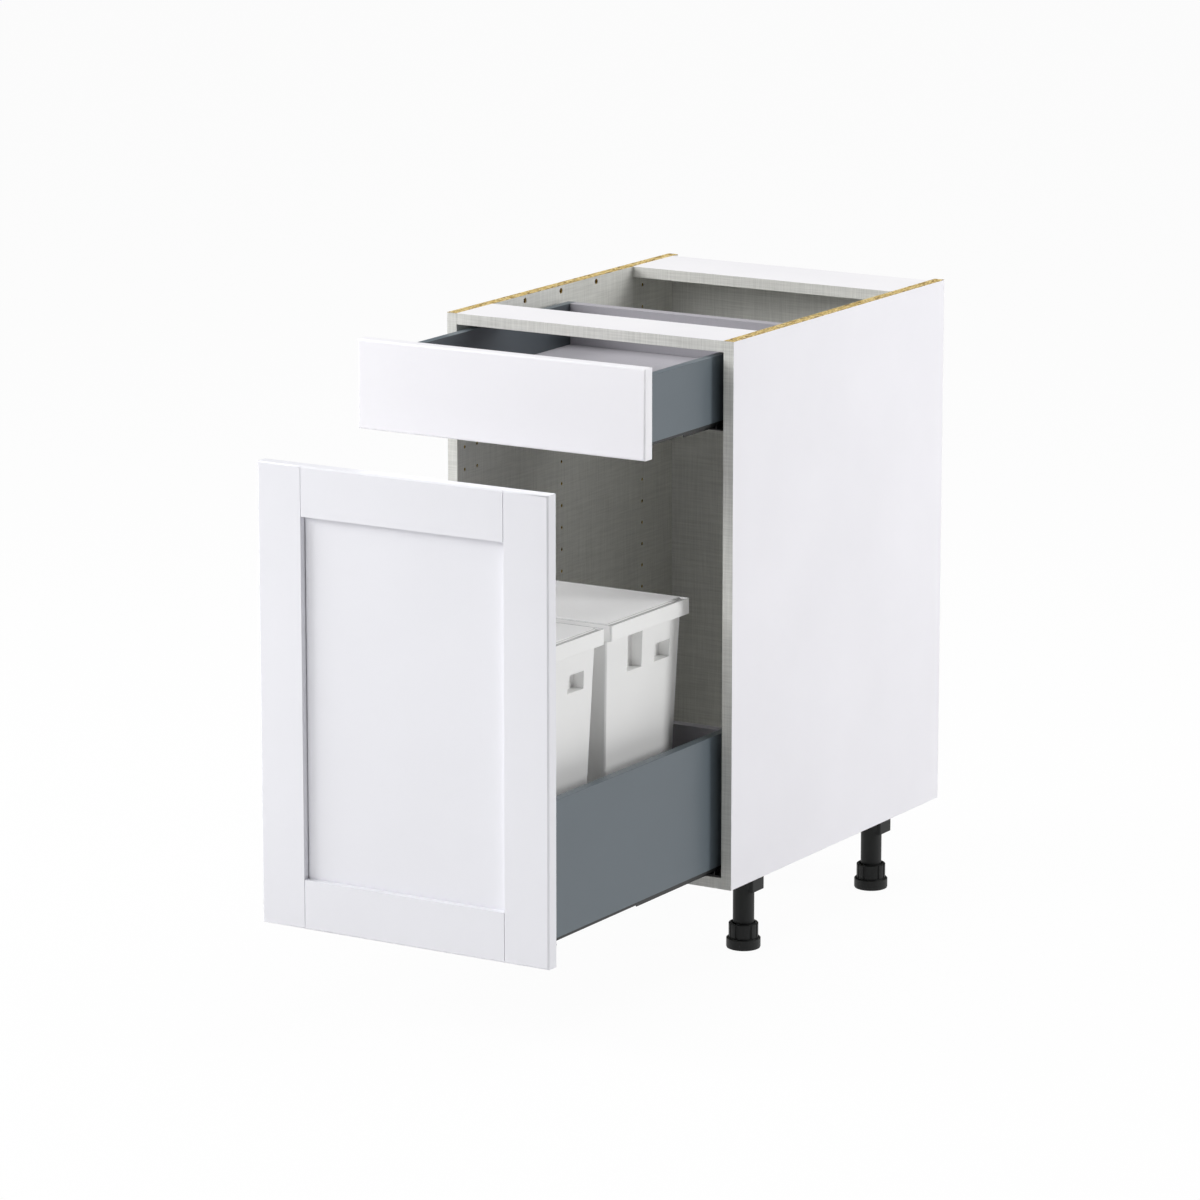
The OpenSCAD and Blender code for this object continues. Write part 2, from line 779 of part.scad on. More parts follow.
module drawer_bumpers() {
    bumpers(drawer_open, [drawer_front_z + drawer_bumper_edge,
                          drawer_front_z + drawer_front_h - drawer_bumper_edge]);
}

// Door of the pull-out: two stiles, two rails and a panel in their grooves

module door_slab() {
    translate([0, 0, bottom_reveal]) front_slab(front_w, door_h, door_y);
}

// Band that tongues and the panel lie in, wider by the groove's clearance where that is cut
module groove_band(x0, x1, z0, z1, fit) {
    translate([x0, panel_y - fit, z0]) cube([x1 - x0, panel_t + 2*fit, z1 - z0]);
}

module door_stile_right() {
    color(white_front) on_floor() difference() {
        intersection() {
            door_slab();
            translate([stile_edge, door_y - cut, 0]) cube([stile_w + cut, front_t + 2*cut, box_h]);
        }
        groove_band(stile_edge - cut, stile_edge + tongue_len + groove_fit, 0, box_h, groove_fit);
        front_screw_bores(pullout_z, pullout_h, pullout_open);
    }
}

module door_stile_left() left_side() door_stile_right();

// A rail from z0 to z1, with its tongues, open joints at its ends, and a groove at the
// panel's side of it
module door_rail(z0, z1, groove_z0, groove_z1) {
    color(white_front) on_floor() difference() {
        union() {
            intersection() {
                door_slab();
                translate([-stile_edge, door_y - cut, z0])
                    cube([2*stile_edge, front_t + 2*cut, z1 - z0]);
            }
            groove_band(-stile_edge - tongue_len, stile_edge + tongue_len, z0, z1, 0);
        }
        groove_band(-front_w, front_w, groove_z0, groove_z1, groove_fit);
        both_sides() translate([stile_edge - joint_gap, door_y - cut, z0 - cut])
            cube([joint_gap + cut, cut + joint_depth, z1 - z0 + 2*cut]);
    }
}

module door_rail_top() {
    door_rail(rail_high, bottom_reveal + door_h,
              rail_high - cut, rail_high + tongue_len + groove_fit);
}

module door_rail_bottom() {
    door_rail(bottom_reveal, rail_low, rail_low - tongue_len - groove_fit, rail_low + cut);
}

// Panel, cut back along the edge that shows, so that a thin shadow line runs round it
module door_panel() {
    reach = tongue_len + cut;
    color(white_front) on_floor() difference() {
        groove_band(-stile_edge - tongue_len, stile_edge + tongue_len,
                    rail_low - tongue_len, rail_high + tongue_len, 0);
        difference() {
            translate([-stile_edge - reach, panel_y - cut, rail_low - reach])
                cube([2*(stile_edge + reach), cut + joint_depth, rail_high - rail_low + 2*reach]);
            translate([shadow_gap - stile_edge, panel_y - 2*cut, rail_low + shadow_gap])
                cube([2*(stile_edge - shadow_gap), joint_depth + 3*cut,
                      rail_high - rail_low - 2*shadow_gap]);
        }
    }
}

// Pull-out

module pullout_wall_right() metal_wall(pullout_z, pullout_h, pullout_len, pullout_open);
module pullout_wall_left() left_side() pullout_wall_right();
module pullout_bottom() bottom_board(pullout_z, pullout_len, pullout_open);
module pullout_back() back_board(pullout_z, pullout_h, pullout_len, pullout_open);
module pullout_screws() tray_screws(pullout_z, pullout_h, pullout_len, pullout_open);

module pullout_front_brackets() {
    color(bright_steel) on_floor() both_sides()
        front_bracket(pullout_z, pullout_h, pullout_open);
}

module pullout_back_brackets() {
    color(steel_grey) on_floor() both_sides()
        back_bracket(pullout_z, pullout_h, pullout_len, pullout_open);
}

module door_bumpers() {
    bumpers(pullout_open, [bottom_reveal + door_bumper_edge,
                           bottom_reveal + door_h - door_bumper_edge]);
}

// Bins, each drawn from the middle of its underside

// Prism along X between two sides that spread towards the top
module spread_sides(top_half, foot_in) {
    foot_half = top_half - foot_in;
    along_x(2*bin_w)
        polygon([[-foot_half, 0], [foot_half, 0], [top_half, bin_h], [-top_half, bin_h]]);
}

// Tapered body with bevelled upright corners, inset by the wall where its hollow is drawn
module bin_form(inset) {
    bevel_half = (bin_half_w + bin_half_d - bin_corner)/sqrt(2) - inset;
    intersection() {
        spread_sides(bin_half_d - inset, bin_foot_in);
        rotate([0, 0, 90]) spread_sides(bin_half_w - inset, bin_foot_in);
        rotate([0, 0, 45]) spread_sides(bevel_half, bin_foot_in*sqrt(2));
        rotate([0, 0, -45]) spread_sides(bevel_half, bin_foot_in*sqrt(2));
    }
}

// Grip pockets in the right side: a tall one under the rim and a small one behind it.
// They are drawn larger by the wall where the bin's wall goes round them.
module pockets(wall) {
    skirt_z = bin_h - rim_h;
    depth_x = bin_half_w - pocket_d;
    translate([depth_x - wall, tall_pocket_y - tall_pocket[0]/2 - wall,
               skirt_z - tall_pocket[1] - wall])
        cube([bin_half_w, tall_pocket[0] + 2*wall, tall_pocket[1] + 2*wall]);
    translate([depth_x - wall, small_pocket_y - small_pocket[0]/2 - wall,
               skirt_z - small_pocket_drop - small_pocket[1] - wall])
        cube([bin_half_w, small_pocket[0] + 2*wall, small_pocket[1] + 2*wall]);
}

module bin() {
    color(bin_grey) {
        difference() {
            union() {
                difference() {
                    bin_form(0);
                    translate([0, 0, bin_wall]) bin_form(bin_wall);
                }
                intersection() {
                    bin_form(bin_wall/2);
                    both_sides() pockets(bin_wall);
                }
            }
            both_sides() pockets(0);
        }
        // Rim: the skirt, and a flange that runs inwards to the ledge that the lid lies on
        translate([0, 0, bin_h - rim_h]) linear_extrude(rim_h) difference() {
            round_rect(bin_w, bin_d, rim_corner);
            round_rect(bin_w - 2*rim_wall, bin_d - 2*rim_wall, rim_corner - rim_wall);
        }
        translate([0, 0, bin_h - lid_seat - rim_wall]) linear_extrude(rim_wall) difference() {
            round_rect(bin_w - rim_wall, bin_d - rim_wall, rim_corner - rim_wall/2);
            round_rect(2*(bin_half_w - bin_wall - lid_ledge_w),
                       2*(bin_half_d - bin_wall - lid_ledge_w), lid_corner);
        }
    }
}

module lid() {
    inset = bin_wall + lid_fit;
    color(bin_grey) translate([0, 0, bin_h - lid_seat]) linear_extrude(lid_t)
        round_rect(2*(bin_half_w - inset), 2*(bin_half_d - inset), lid_corner);
}

module at_bin(y) {
    on_floor() translate([0, y - pullout_open, bin_z]) children();
}

module bin_front() at_bin(front_bin_y) bin();
module bin_rear() at_bin(rear_bin_y) bin();
module lid_front() at_bin(front_bin_y) lid();
module lid_rear() at_bin(rear_bin_y) lid();

side_panel_left();
side_panel_right();
bottom_panel();
back_panel();
front_top_rail();
rear_top_rail();
carcass_dowels();
leg_sockets();
leg_tubes();
leg_screws();
foot_front_left();
foot_front_right();
foot_rear_left();
foot_rear_right();
drawer_runner_left();
drawer_runner_right();
pullout_runner_left();
pullout_runner_right();
runner_screws();
drawer_middle_rail_left();
drawer_middle_rail_right();
pullout_middle_rail_left();
pullout_middle_rail_right();
drawer_lower_cages();
drawer_upper_cages();
pullout_lower_cages();
pullout_upper_cages();
drawer_front();
drawer_wall_left();
drawer_wall_right();
drawer_bottom();
drawer_back();
drawer_rail_left();
drawer_rail_right();
drawer_front_brackets();
drawer_back_brackets();
drawer_screws();
drawer_bumpers();
door_stile_left();
door_stile_right();
door_rail_top();
door_rail_bottom();
door_panel();
pullout_wall_left();
pullout_wall_right();
pullout_bottom();
pullout_back();
pullout_rail_left();
pullout_rail_right();
pullout_front_brackets();
pullout_back_brackets();
pullout_screws();
door_bumpers();
bin_front();
bin_rear();
lid_front();
lid_rear();
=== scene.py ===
"""Pull-out base cabinet, dressed for rendering.

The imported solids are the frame. Boards, fronts, metal walls, bins, lids, legs and
runners are shown by copies of their solids with eased edges, and every piece gets
a procedural finish. Metres, with the floor at Z = 0 and the fronts towards -Y.
"""

import json
import math

import bmesh
import bpy
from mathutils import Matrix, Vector


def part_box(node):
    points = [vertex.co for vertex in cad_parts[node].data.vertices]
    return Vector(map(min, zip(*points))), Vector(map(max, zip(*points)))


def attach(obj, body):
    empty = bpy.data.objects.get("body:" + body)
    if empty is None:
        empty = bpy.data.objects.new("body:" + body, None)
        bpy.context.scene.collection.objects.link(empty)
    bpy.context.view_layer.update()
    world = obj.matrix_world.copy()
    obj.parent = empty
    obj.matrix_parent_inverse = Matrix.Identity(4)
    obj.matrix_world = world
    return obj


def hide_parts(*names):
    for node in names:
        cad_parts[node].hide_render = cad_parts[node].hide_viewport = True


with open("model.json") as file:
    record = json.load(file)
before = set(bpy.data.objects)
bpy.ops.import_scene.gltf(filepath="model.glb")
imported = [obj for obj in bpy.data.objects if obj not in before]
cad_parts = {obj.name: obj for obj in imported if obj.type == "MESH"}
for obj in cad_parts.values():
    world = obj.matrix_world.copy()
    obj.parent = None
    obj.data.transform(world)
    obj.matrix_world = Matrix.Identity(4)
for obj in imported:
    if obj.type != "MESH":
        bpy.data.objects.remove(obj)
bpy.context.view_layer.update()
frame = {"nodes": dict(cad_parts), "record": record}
nodes = frame["nodes"]
bodies = frame["record"]["behaviour"]["bodies"]
slot_of = {part["node"]: part["material_slot"] for part in frame["record"]["subparts"]}
body_of = {node: body for body, members in bodies.items() for node in members}

# Planes of the carcass, read from the solids
panel_low, panel_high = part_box("side_panel_right")
INNER_FACE, OUTER_FACE = panel_low.x, panel_high.x
BOX_FRONT, BOX_TOP = panel_low.y, panel_high.z
# The ledge of a bin is level with the underside of its lid
LEDGE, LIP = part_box("lid_rear")[0].z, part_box("bin_rear")[1].z
# The plane of the metal walls' faces that look into the tray
WALL_THICK = 0.013
WALL_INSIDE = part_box("drawer_wall_right")[1].x - WALL_THICK
# A face is picked out by being within this distance of its plane
FACE_DEPTH = 0.0004
# Past every point of the object, for a range that is open at one end
FAR = 10.0
# A face whose normal has more than this along Z looks up
FACES_UP = 0.7


def srgb(r, g, b):
    """A colour given as 0 to 255 per channel, in linear light with alpha."""
    def linear(v):
        v /= 255
        return v / 12.92 if v <= 0.04045 else ((v + 0.055) / 1.055) ** 2.4
    return (linear(r), linear(g), linear(b), 1.0)


# Colours of the finishes
WHITE_LACQUER = srgb(243, 243, 248)
WHITE_LACQUER_SHADE = srgb(239, 239, 244)
# The drawer front's white is a lighter copy of the fronts' lacquer, as painted light
DRAWER_PAINTED_LIGHT_WHITE = srgb(251, 250, 254)
DRAWER_PAINTED_LIGHT_DARKER = srgb(248, 247, 251)
RAIL_WHITE = srgb(237, 236, 238)
RAIL_WHITE_SHADE = srgb(232, 231, 234)
SIDE_WHITE = srgb(247, 246, 251)
SIDE_WHITE_SHADE = srgb(243, 242, 247)
LINEN_LIGHT = srgb(234, 234, 229)
LINEN_DARK = srgb(199, 199, 194)
CHIP_GOLD = srgb(184, 154, 82)
CHIP_PALE = srgb(230, 211, 156)
CHIP_DARK = srgb(104, 76, 32)
TRAY_LIGHT = srgb(183, 181, 187)
TRAY_DARK = srgb(176, 174, 180)
# The tray backs are a darker copy of the tray board, as painted shade
TRAY_BACK_PAINTED_SHADE = srgb(172, 170, 176)
TRAY_BACK_PAINTED_SHADE_DARKER = srgb(165, 163, 169)
COAT_GREY = srgb(98, 108, 115)
COAT_DARK = srgb(92, 102, 109)
# Painted shade on the faces of the metal walls that look into the tray
COAT_INSIDE_PAINTED_SHADE = srgb(77, 84, 89)
COAT_INSIDE_PAINTED_SHADE_DARKER = srgb(73, 80, 85)
# The runners' black is painted shade for the shadow they sit in; such runners are
# galvanised steel
RUNNER_PAINTED_SHADE_BLACK = srgb(34, 36, 36)
RUNNER_PAINTED_SHADE_DARKER = srgb(28, 30, 30)
ZINC_LIGHT = srgb(196, 198, 200)
ZINC_DARK = srgb(160, 163, 166)
BIN_WHITE = srgb(249, 249, 248)
BIN_SHADE = srgb(244, 244, 243)
# The lids' white is a lighter copy of the bins' plastic, as painted light
LID_PAINTED_LIGHT_WHITE = srgb(255, 255, 254)
LID_PAINTED_LIGHT_DARKER = srgb(252, 252, 251)
# Painted shade on the ledge and lip round each lid, for the groove between them
LEDGE_PAINTED_SHADE = srgb(198, 198, 197)
LEDGE_PAINTED_SHADE_DARKER = srgb(192, 192, 191)
LEG_BLACK = srgb(20, 22, 22)
LEG_WORN = srgb(25, 27, 27)
BEECH_LIGHT = srgb(216, 180, 128)
BEECH_DARK = srgb(188, 148, 96)
BUMPER_CLEAR = srgb(226, 230, 232)
BUMPER_SHADE = srgb(214, 219, 222)
FLOOR_GREY = srgb(230, 230, 230)
PURE_WHITE = (1, 1, 1, 1)

# Scales of the textures, in features per metre
THREAD_SCALE = 520.0
LINEN_CLOUD_SCALE = 9.0
CHIP_SCALE, FLECK_SCALE = 680.0, 430.0
GRAIN_SCALE, CLOUD_SCALE = 900.0, 5.0
LINE_SCALE = 1400.0
# A feature is drawn out along one axis by dividing its length by this
THREAD_STRETCH, CHIP_STRETCH, LINE_STRETCH = 0.035, 0.45, 0.02
# A noise texture stays mostly between these
NOISE_LOW, NOISE_HIGH = 0.3, 0.7
PLAIN_DETAIL, GRAIN_DETAIL, CLOUD_DETAIL = 2.0, 1.0, 3.0
# Linen: two sets of threads cross on a face, and clouds lie over them
PER_THREAD_SET = 0.5
THREAD_SHARE, LINEN_CLOUD_SHARE = 0.8, 0.2
# Chips: from gold to pale, and the few that are dark
PALE_FROM, PALE_TO = 0.35, 0.9
FLECK_FROM, FLECK_TO = 0.74, 0.80
FLECK_STRENGTH = 0.85

# Boards, and the outside of the side panels, which is smoother
BOARD_SPECULAR = 0.35
BOARD_ROUGH, OUTSIDE_ROUGH = 0.5, 0.38
BOARD_BUMP = 0.25
BUMP_HEIGHT = 0.0002
# Moulded plastic of the bins and lids
MOULDED_SMOOTH, MOULDED_ROUGH = 0.42, 0.52
MOULDED_GRAIN, MOULDED_CLOUDS = 1100.0, 4.0
MOULDED_BUMP = 0.06


class NodeTree:
    """Adds nodes to a tree and links their sockets by name or index."""

    def __init__(self, tree):
        self.tree = tree

    def node(self, kind, links=None, **settings):
        made = self.tree.nodes.new(kind)
        for name, value in settings.items():
            setattr(made, name, value)
        for key, value in (links or {}).items():
            self.feed(made.inputs[key], value)
        return made

    def feed(self, socket, value):
        if isinstance(value, bpy.types.NodeSocket):
            self.tree.links.new(value, socket)
        else:
            socket.default_value = value

    def math(self, operation, a, b=0.0, c=0.0, clamp=False):
        made = self.node("ShaderNodeMath", operation=operation, use_clamp=clamp)
        for socket, value in zip(made.inputs, (a, b, c)):
            self.feed(socket, value)
        return made.outputs[0]

    def mix(self, factor, a, b):
        """Colour a where the factor is 0, and colour b where it is 1."""
        made = self.node("ShaderNodeMix", {"Factor": factor}, data_type="RGBA")
        self.feed(made.inputs[6], a)
        self.feed(made.inputs[7], b)
        return made.outputs[2]

    def object_point(self, scale=(1, 1, 1), location=(0, 0, 0)):
        """Object coordinates stretched and moved by a Mapping node."""
        coordinates = self.node("ShaderNodeTexCoord")
        return self.node("ShaderNodeMapping", {
            "Vector": coordinates.outputs["Object"], "Scale": scale, "Location": location,
        }).outputs[0]

    def normal(self):
        """X, Y and Z of the normal on the piece."""
        facing = self.node("ShaderNodeTexCoord").outputs["Normal"]
        return self.node("ShaderNodeSeparateXYZ", {0: facing}).outputs

    def noise(self, point, scale, detail=PLAIN_DETAIL):
        return self.node("ShaderNodeTexNoise", {
            "Vector": point, "Scale": scale, "Detail": detail}).outputs["Fac"]

    def cells(self, point, scale):
        """Red, green and blue of a colour drawn for each cell of a Voronoi texture."""
        made = self.node("ShaderNodeTexVoronoi", {"Vector": point, "Scale": scale})
        return self.node("ShaderNodeSeparateColor", {0: made.outputs["Color"]}).outputs

    def spread(self, value, low=NOISE_LOW, high=NOISE_HIGH):
        """Stretches a value so that low becomes 0 and high becomes 1."""
        return self.node("ShaderNodeMapRange", {
            "Value": value, "From Min": low, "From Max": high}).outputs["Result"]

    def from_to(self, factor, start, end):
        """The number start where the factor is 0, and end where it is 1."""
        return self.math("MULTIPLY_ADD", factor, self.math("SUBTRACT", end, start), start)


FLOAT, COLOUR = "NodeSocketFloat", "NodeSocketColor"


def new_group(name, inputs, outputs):
    """An empty shader group with its sockets, ready for its nodes."""
    group = bpy.data.node_groups.new(name, "ShaderNodeTree")
    for label, kind, default in inputs:
        socket = group.interface.new_socket(label, in_out="INPUT", socket_type=kind)
        socket.default_value = default
    for label, kind in outputs:
        group.interface.new_socket(label, in_out="OUTPUT", socket_type=kind)
    tree = NodeTree(group)
    entry = tree.node("NodeGroupInput")
    leave = tree.node("NodeGroupOutput")
    return group, tree, entry.outputs, leave.inputs


def build_linen_weave():
    """Cross-hatched threads along the two directions of each face."""
    group, tree, given, made = new_group(
        "linen weave",
        [("Light", COLOUR, LINEN_LIGHT), ("Dark", COLOUR, LINEN_DARK),
         ("Thread", FLOAT, THREAD_SCALE)],
        [("Color", COLOUR), ("Height", FLOAT)])
    facing = tree.normal()
    threads = None
    for axis in range(3):
        stretch = [1.0, 1.0, 1.0]
        stretch[axis] = THREAD_STRETCH
        # Each direction reads the noise from a place of its own
        point = tree.object_point(stretch, (axis * 3.1, 0.7, axis))
        streak = tree.spread(tree.noise(point, given["Thread"]))
        # No thread runs into the face that it lies on
        along = tree.math("SUBTRACT", 1.0, tree.math("ABSOLUTE", facing[axis]), clamp=True)
        streak = tree.math("MULTIPLY", streak, along)
        threads = streak if threads is None else tree.math("ADD", threads, streak)
    threads = tree.math("MULTIPLY", threads, PER_THREAD_SET, clamp=True)
    clouds = tree.spread(tree.noise(tree.object_point(), LINEN_CLOUD_SCALE, CLOUD_DETAIL))
    shade = tree.math("ADD", tree.math("MULTIPLY", threads, THREAD_SHARE),
                      tree.math("MULTIPLY", clouds, LINEN_CLOUD_SHARE), clamp=True)
    tree.feed(made["Color"], tree.mix(shade, given["Dark"], given["Light"]))
    tree.feed(made["Height"], threads)
    return group


def build_chipboard():
    """Pressed wood chips, drawn out along the edge of the board."""
    group, tree, given, made = new_group(
        "pressed chips",
        [("Gold", COLOUR, CHIP_GOLD), ("Pale", COLOUR, CHIP_PALE),
         ("Dark", COLOUR, CHIP_DARK)],
        [("Color", COLOUR)])
    point = tree.object_point((1.0, CHIP_STRETCH, 1.0))
    pale = tree.spread(tree.cells(point, CHIP_SCALE)[0], PALE_FROM, PALE_TO)
    chips = tree.mix(pale, given["Gold"], given["Pale"])
    flecks = tree.spread(tree.cells(point, FLECK_SCALE)[1], FLECK_FROM, FLECK_TO)
    flecks = tree.math("MULTIPLY", flecks, FLECK_STRENGTH, clamp=True)
    tree.feed(made["Color"], tree.mix(flecks, chips, given["Dark"]))
    return group


def build_fine_grain():
    """Orange peel of a sprayed or moulded surface, with faint clouds in its colour."""
    group, tree, given, made = new_group(
        "fine grain",
        [("Light", COLOUR, WHITE_LACQUER), ("Dark", COLOUR, WHITE_LACQUER_SHADE),
         ("Grain", FLOAT, GRAIN_SCALE), ("Clouds", FLOAT, CLOUD_SCALE),
         ("Smooth", FLOAT, 0.3), ("Rough", FLOAT, 0.4)],
        [("Color", COLOUR), ("Roughness", FLOAT), ("Height", FLOAT)])
    point = tree.object_point()
    clouds = tree.spread(tree.noise(point, given["Clouds"], CLOUD_DETAIL))
    tree.feed(made["Color"], tree.mix(clouds, given["Dark"], given["Light"]))
    tree.feed(made["Roughness"], tree.from_to(clouds, given["Smooth"], given["Rough"]))
    tree.feed(made["Height"], tree.noise(point, given["Grain"], GRAIN_DETAIL))
    return group


def build_drawn_lines():
    """Faint lines along Y, as rolled or drawn sheet has."""
    group, tree, given, made = new_group(
        "drawn lines",
        [("Light", COLOUR, ZINC_LIGHT), ("Dark", COLOUR, ZINC_DARK),
         ("Line", FLOAT, LINE_SCALE), ("Smooth", FLOAT, 0.3), ("Rough", FLOAT, 0.45)],
        [("Color", COLOUR), ("Roughness", FLOAT), ("Height", FLOAT)])
    point = tree.object_point((1.0, LINE_STRETCH, 1.0))
    lines = tree.spread(tree.noise(point, given["Line"]))
    tree.feed(made["Color"], tree.mix(lines, given["Dark"], given["Light"]))
    tree.feed(made["Roughness"], tree.from_to(lines, given["Smooth"], given["Rough"]))
    tree.feed(made["Height"], lines)
    return group


def build_face_mask():
    """1 where a value lies between Low and High, and 0 elsewhere."""
    group, tree, given, made = new_group(
        "face mask",
        [("Value", FLOAT, 0.0), ("Low", FLOAT, 0.0), ("High", FLOAT, 1.0)],
        [("Mask", FLOAT)])
    above = tree.math("GREATER_THAN", given["Value"], given["Low"])
    below = tree.math("LESS_THAN", given["Value"], given["High"])
    tree.feed(made["Mask"], tree.math("MULTIPLY", above, below))
    return group


GROUPS = {
    "linen": build_linen_weave(),
    "chips": build_chipboard(),
    "grain": build_fine_grain(),
    "lines": build_drawn_lines(),
    "mask": build_face_mask(),
}


class Finish(NodeTree):
    """One material: a Principled shader in the material and groups that feed it."""

    def __init__(self, name, **sockets):
        self.material = bpy.data.materials.new(name)
        self.material.use_nodes = True
        super().__init__(self.material.node_tree)
        self.shader = self.tree.nodes["Principled BSDF"]
        for label, value in sockets.items():
            self.shader.inputs[label.replace("_", " ")].default_value = value

    def group(self, key, **values):
        made = self.node("ShaderNodeGroup", node_tree=GROUPS[key])
        for label, value in values.items():
            self.feed(made.inputs[label], value)
        return made.outputs

    def surface(self, colour, roughness, height, bump):
        """The finished material, with its colour, roughness and bump connected."""
        self.feed(self.shader.inputs["Base Color"], colour)
        self.feed(self.shader.inputs["Roughness"], roughness)
        made = self.node("ShaderNodeBump", {
            "Height": height, "Strength": bump, "Distance": BUMP_HEIGHT})
        self.feed(self.shader.inputs["Normal"], made.outputs[0])
        return self.material

    def place(self):
        """X, Y and Z of the point on the piece."""
        point = self.node("ShaderNodeTexCoord").outputs["Object"]
        return self.node("ShaderNodeSeparateXYZ", {0: point}).outputs

    def between(self, value, low, high):
        return self.group("mask", Value=value, Low=low, High=high)[0]

    def inverse(self, mask):
        return self.math("SUBTRACT", 1.0, mask)


def side_board():
    """White outside, linen inside and on the front edge, bare chips elsewhere."""
    finish = Finish("side board", Specular_IOR_Level=BOARD_SPECULAR)
    x, y, z = finish.place()
    across = finish.math("ABSOLUTE", x)
    outside = finish.between(across, OUTER_FACE - FACE_DEPTH, FAR)
    inside = finish.between(across, 0.0, INNER_FACE + FACE_DEPTH)
    front = finish.between(y, -FAR, BOX_FRONT + FACE_DEPTH)
    top = finish.between(z, BOX_TOP - FACE_DEPTH, FAR)
    linen = finish.group("linen")
    chips = finish.group("chips")
    white = finish.group("grain", Light=SIDE_WHITE, Dark=SIDE_WHITE_SHADE)
    lined = finish.math("MAXIMUM", inside, front)
    colour = finish.mix(lined, chips["Color"], linen["Color"])
    colour = finish.mix(outside, colour, white["Color"])
    colour = finish.mix(top, colour, chips["Color"])
    height = finish.math("MULTIPLY", linen["Height"], finish.inverse(outside))
    rough = finish.math("MULTIPLY_ADD", outside, OUTSIDE_ROUGH - BOARD_ROUGH, BOARD_ROUGH)
    return finish.surface(colour, rough, height, BOARD_BUMP)


def linen_board(name, light=LINEN_LIGHT, dark=LINEN_DARK, white_above=None):
    """Linen all over, or with a white face at the height white_above."""
    finish = Finish(name, Specular_IOR_Level=BOARD_SPECULAR)
    linen = finish.group("linen", Light=light, Dark=dark)
    colour, height = linen["Color"], linen["Height"]
    if white_above is not None:
        above = finish.between(finish.place()[2], white_above - FACE_DEPTH, FAR)
        white = finish.group("grain", Light=RAIL_WHITE, Dark=RAIL_WHITE_SHADE)
        colour = finish.mix(above, colour, white["Color"])
        height = finish.math("MULTIPLY", height, finish.inverse(above))
    return finish.surface(colour, BOARD_ROUGH, height, BOARD_BUMP)


def grained(name, light, dark, smooth, rough, bump,
            grain=GRAIN_SCALE, clouds=CLOUD_SCALE, **sockets):
    """A sprayed or moulded surface, between a smooth and a rough value."""
    finish = Finish(name, **sockets)
    made = finish.group("grain", Light=light, Dark=dark, Smooth=smooth, Rough=rough,
                        Grain=grain, Clouds=clouds)
    return finish.surface(made["Color"], made["Roughness"], made["Height"], bump)


def drawn(name, light, dark, smooth, rough, bump, **sockets):
    """A surface with lines along Y, between a smooth and a rough value."""
    finish = Finish(name, **sockets)
    made = finish.group("lines", Light=light, Dark=dark, Smooth=smooth, Rough=rough)
    return finish.surface(made["Color"], made["Roughness"], made["Height"], bump)


def lacquer(name, light, dark):
    """The sprayed white of the fronts."""
    return grained(name, light, dark, smooth=0.3, rough=0.38, bump=0.03,
                   grain=700.0, clouds=3.0, Specular_IOR_Level=0.4)


def grey_coat():
    """Powder coat, with painted shade on the faces of the metal walls that look into the
    tray.
    """
    finish = Finish("grey powder coat")
    across = finish.math("ABSOLUTE", finish.place()[0])
    inside = finish.between(across, WALL_INSIDE - FACE_DEPTH, WALL_INSIDE + FACE_DEPTH)
    made = finish.group("grain", Light=COAT_GREY, Dark=COAT_DARK, Smooth=0.36, Rough=0.46,
                        Grain=1400.0)
    painted_inside_shade = finish.group("grain", Light=COAT_INSIDE_PAINTED_SHADE, Dark=COAT_INSIDE_PAINTED_SHADE_DARKER)
    colour = finish.mix(inside, made["Color"], painted_inside_shade["Color"])
    return finish.surface(colour, made["Roughness"], made["Height"], bump=0.1)


def bin_plastic():
    """Moulded plastic, with painted shade on the ledge under the lid and on the lip round
    it, for the groove between them.
    """
    finish = Finish("bin plastic")
    high = finish.between(finish.place()[2], LEDGE - FACE_DEPTH, LIP + FACE_DEPTH)
    level = finish.between(finish.normal()[2], FACES_UP, FAR)
    made = finish.group("grain", Light=BIN_WHITE, Dark=BIN_SHADE, Smooth=MOULDED_SMOOTH,
                        Rough=MOULDED_ROUGH, Grain=MOULDED_GRAIN, Clouds=MOULDED_CLOUDS)
    painted_ledge_shade = finish.group("grain", Light=LEDGE_PAINTED_SHADE, Dark=LEDGE_PAINTED_SHADE_DARKER)
    ledge = finish.math("MULTIPLY", high, level)
    colour = finish.mix(ledge, made["Color"], painted_ledge_shade["Color"])
    return finish.surface(colour, made["Roughness"], made["Height"], MOULDED_BUMP)


